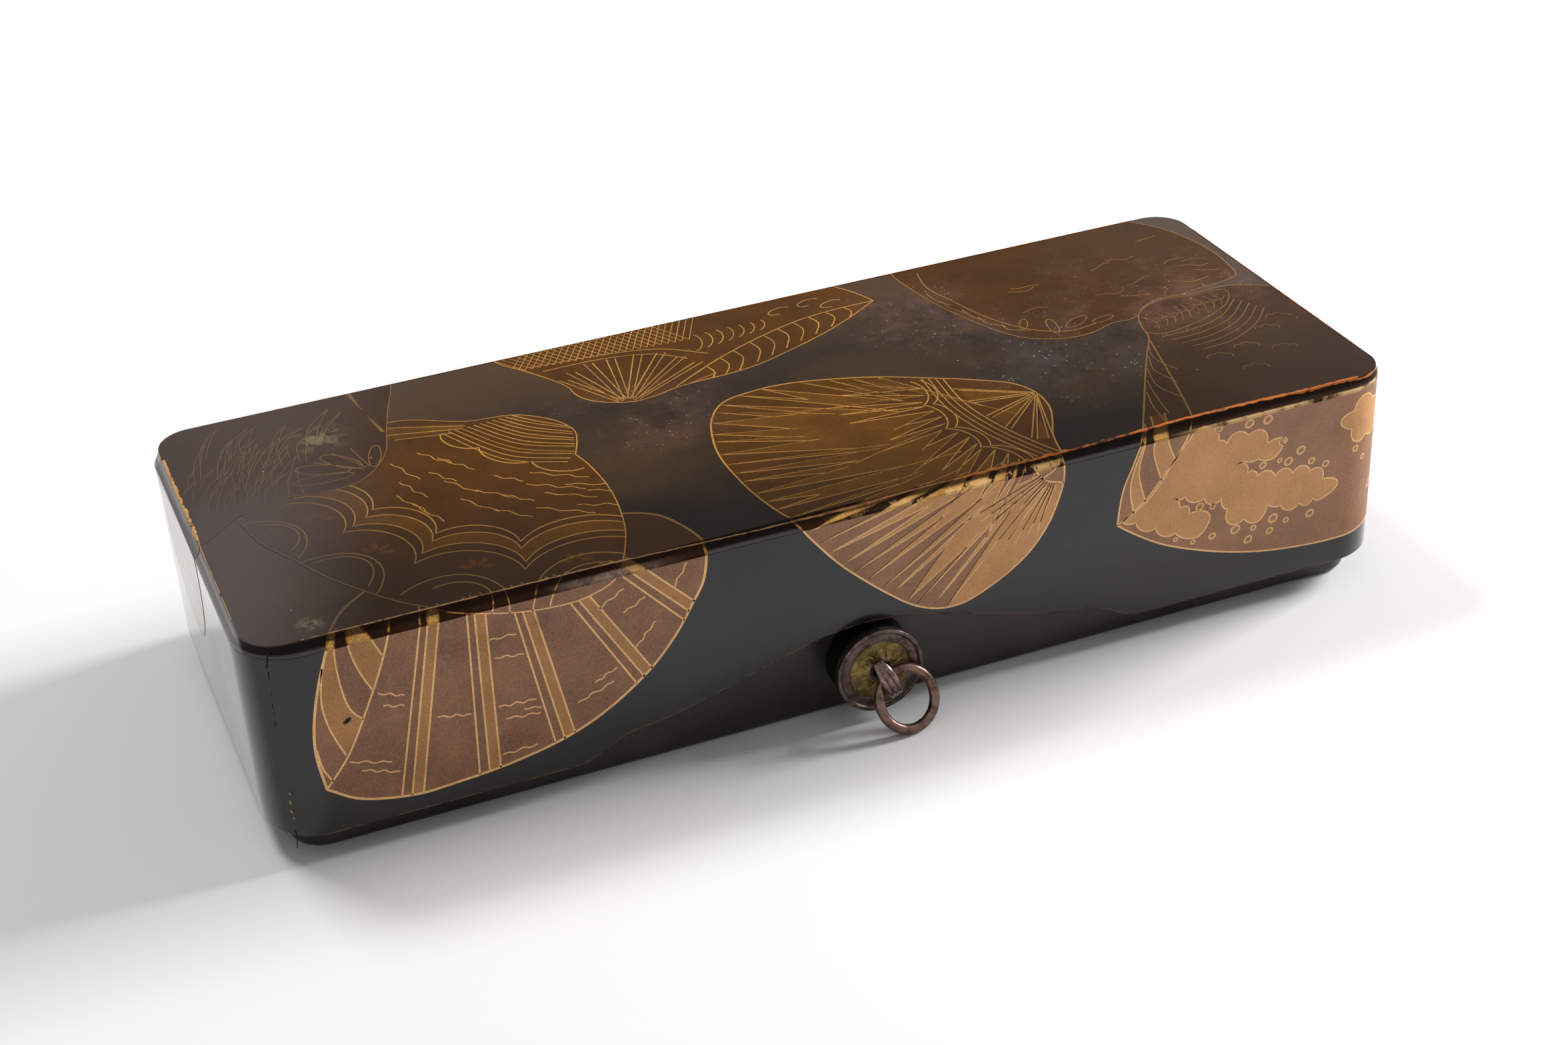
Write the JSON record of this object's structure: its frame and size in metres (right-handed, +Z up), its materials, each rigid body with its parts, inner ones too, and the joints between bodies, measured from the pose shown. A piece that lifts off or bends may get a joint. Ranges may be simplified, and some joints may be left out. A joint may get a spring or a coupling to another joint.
{
  "type": "lacquer letter box",
  "caption": "Long lacquered wooden letter box with a deep lift-off lid, arched long sides and ring fittings for a tying cord.",
  "frame": {"origin": "on the table surface, at the middle of the base's underside", "axes": "+X along the box's length, +Z up, -Y towards the side with the front ring"},
  "size_m": [0.23, 0.1118, 0.0469],
  "materials": {
    "top_lacquer": "dark brown lacquer on wood, hand polished, with dusted gold decoration",
    "side_lacquer": "black lacquer on wood, hand polished, with dusted gold decoration",
    "base_lacquer": "black lacquer on wood, satin",
    "gilded_bronze": "patinated copper alloy, punched and partly gilded",
    "dark_bronze": "dark brown patinated copper alloy"
  },
  "bodies": {
    "base": {"base_floor": "base_lacquer", "base_front_board": "base_lacquer", "base_back_board": "base_lacquer", "base_left_board": "base_lacquer", "base_right_board": "base_lacquer", "front_seat": "dark_bronze", "front_rosette": "gilded_bronze", "front_split_pin": "gilded_bronze", "front_inner_plate": "dark_bronze", "back_seat": "dark_bronze", "back_rosette": "gilded_bronze", "back_split_pin": "gilded_bronze", "back_inner_plate": "dark_bronze"},
    "lid": {"lid_top_panel": "top_lacquer", "lid_front_board": "side_lacquer", "lid_back_board": "side_lacquer", "lid_left_board": "side_lacquer", "lid_right_board": "side_lacquer"},
    "front_ring_body": {"front_ring": "dark_bronze"},
    "back_ring_body": {"back_ring": "dark_bronze"}
  },
  "joints": [
    {"name": "lid_lift", "type": "slide", "parent": "base", "child": "lid", "axis": [0, 0, 1], "range_m": [0, 0.05]},
    {"name": "front_ring_swing", "type": "hinge", "parent": "base", "child": "front_ring_body", "pos_m": [0.0013, -0.05006, 0.01045], "axis": [-0.9135, 0, -0.4067], "range_deg": [0, 145]},
    {"name": "back_ring_swing", "type": "hinge", "parent": "base", "child": "back_ring_body", "pos_m": [-0.0013, 0.05006, 0.01045], "axis": [0.9135, 0, -0.4067], "range_deg": [0, 145]}
  ]
}
